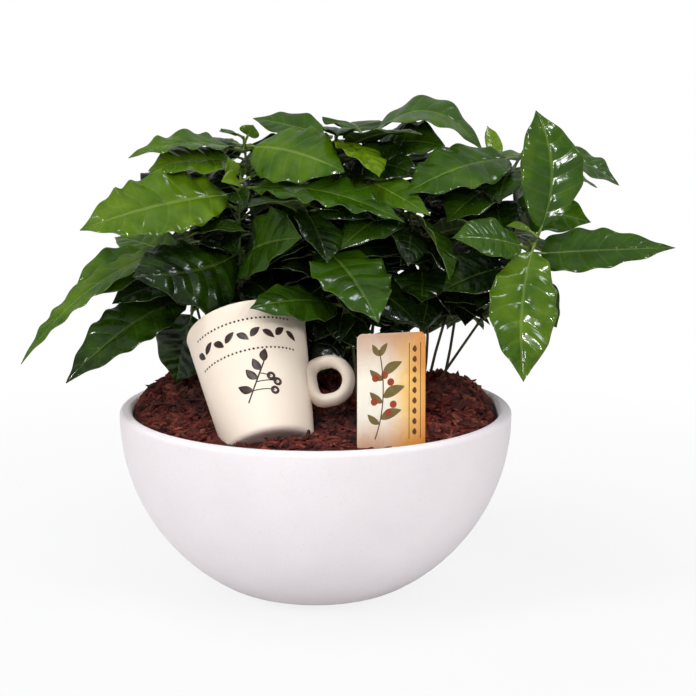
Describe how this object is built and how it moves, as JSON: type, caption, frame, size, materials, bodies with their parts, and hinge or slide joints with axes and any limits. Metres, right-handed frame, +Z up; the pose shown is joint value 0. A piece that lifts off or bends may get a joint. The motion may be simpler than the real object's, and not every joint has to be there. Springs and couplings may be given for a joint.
{
  "type": "potted coffee plant",
  "caption": "Cluster of broad-leaved coffee seedlings in a round matte bowl of soil and bark chips, with a tilted mug and a plant label.",
  "frame": {"origin": "centre of the bowl's flat foot, on the surface that it stands on", "axes": "+Z up; -Y towards the front, where the mug and the label stand; +X to the right as seen from the front"},
  "size_m": [0.4524, 0.3523, 0.3508],
  "materials": {
    "bowl_clay": "matte",
    "soil_peat": "matte",
    "bark": "matte",
    "mug_glaze": "gloss",
    "label_card": "gloss",
    "stem_bark": "matte",
    "leaf_green": "satin"
  },
  "bodies": {
    "root": {"bowl": "bowl_clay", "soil": "soil_peat", "bark_mulch": "bark", "mug": "mug_glaze", "plant_label": "label_card", "stem_a": "stem_bark", "stem_b": "stem_bark", "stem_c": "stem_bark", "stem_d": "stem_bark", "stem_e": "stem_bark", "stem_f": "stem_bark", "stem_g": "stem_bark", "stem_h": "stem_bark", "stem_i": "stem_bark", "stem_j": "stem_bark", "stem_k": "stem_bark", "stem_l": "stem_bark", "leaf_a1": "leaf_green", "leaf_a2": "leaf_green", "leaf_a3": "leaf_green", "leaf_a4": "leaf_green", "leaf_b1": "leaf_green", "leaf_b2": "leaf_green", "leaf_b3": "leaf_green", "leaf_c1": "leaf_green", "leaf_c2": "leaf_green", "leaf_c3": "leaf_green", "leaf_c4": "leaf_green", "leaf_c5": "leaf_green", "leaf_c6": "leaf_green", "leaf_d1": "leaf_green", "leaf_d2": "leaf_green", "leaf_d3": "leaf_green", "leaf_e1": "leaf_green", "leaf_e2": "leaf_green", "leaf_e3": "leaf_green", "leaf_f1": "leaf_green", "leaf_f2": "leaf_green", "leaf_f3": "leaf_green", "leaf_f4": "leaf_green", "leaf_f5": "leaf_green", "leaf_f6": "leaf_green", "leaf_g1": "leaf_green", "leaf_g2": "leaf_green", "leaf_g3": "leaf_green", "leaf_g4": "leaf_green", "leaf_h1": "leaf_green", "leaf_h2": "leaf_green", "leaf_i1": "leaf_green", "leaf_i2": "leaf_green", "leaf_j1": "leaf_green", "leaf_j2": "leaf_green", "leaf_j3": "leaf_green", "leaf_k1": "leaf_green", "leaf_k2": "leaf_green", "leaf_k3": "leaf_green", "leaf_k4": "leaf_green", "leaf_l1": "leaf_green", "leaf_l2": "leaf_green", "leaf_l3": "leaf_green"}
  },
  "joints": []
}
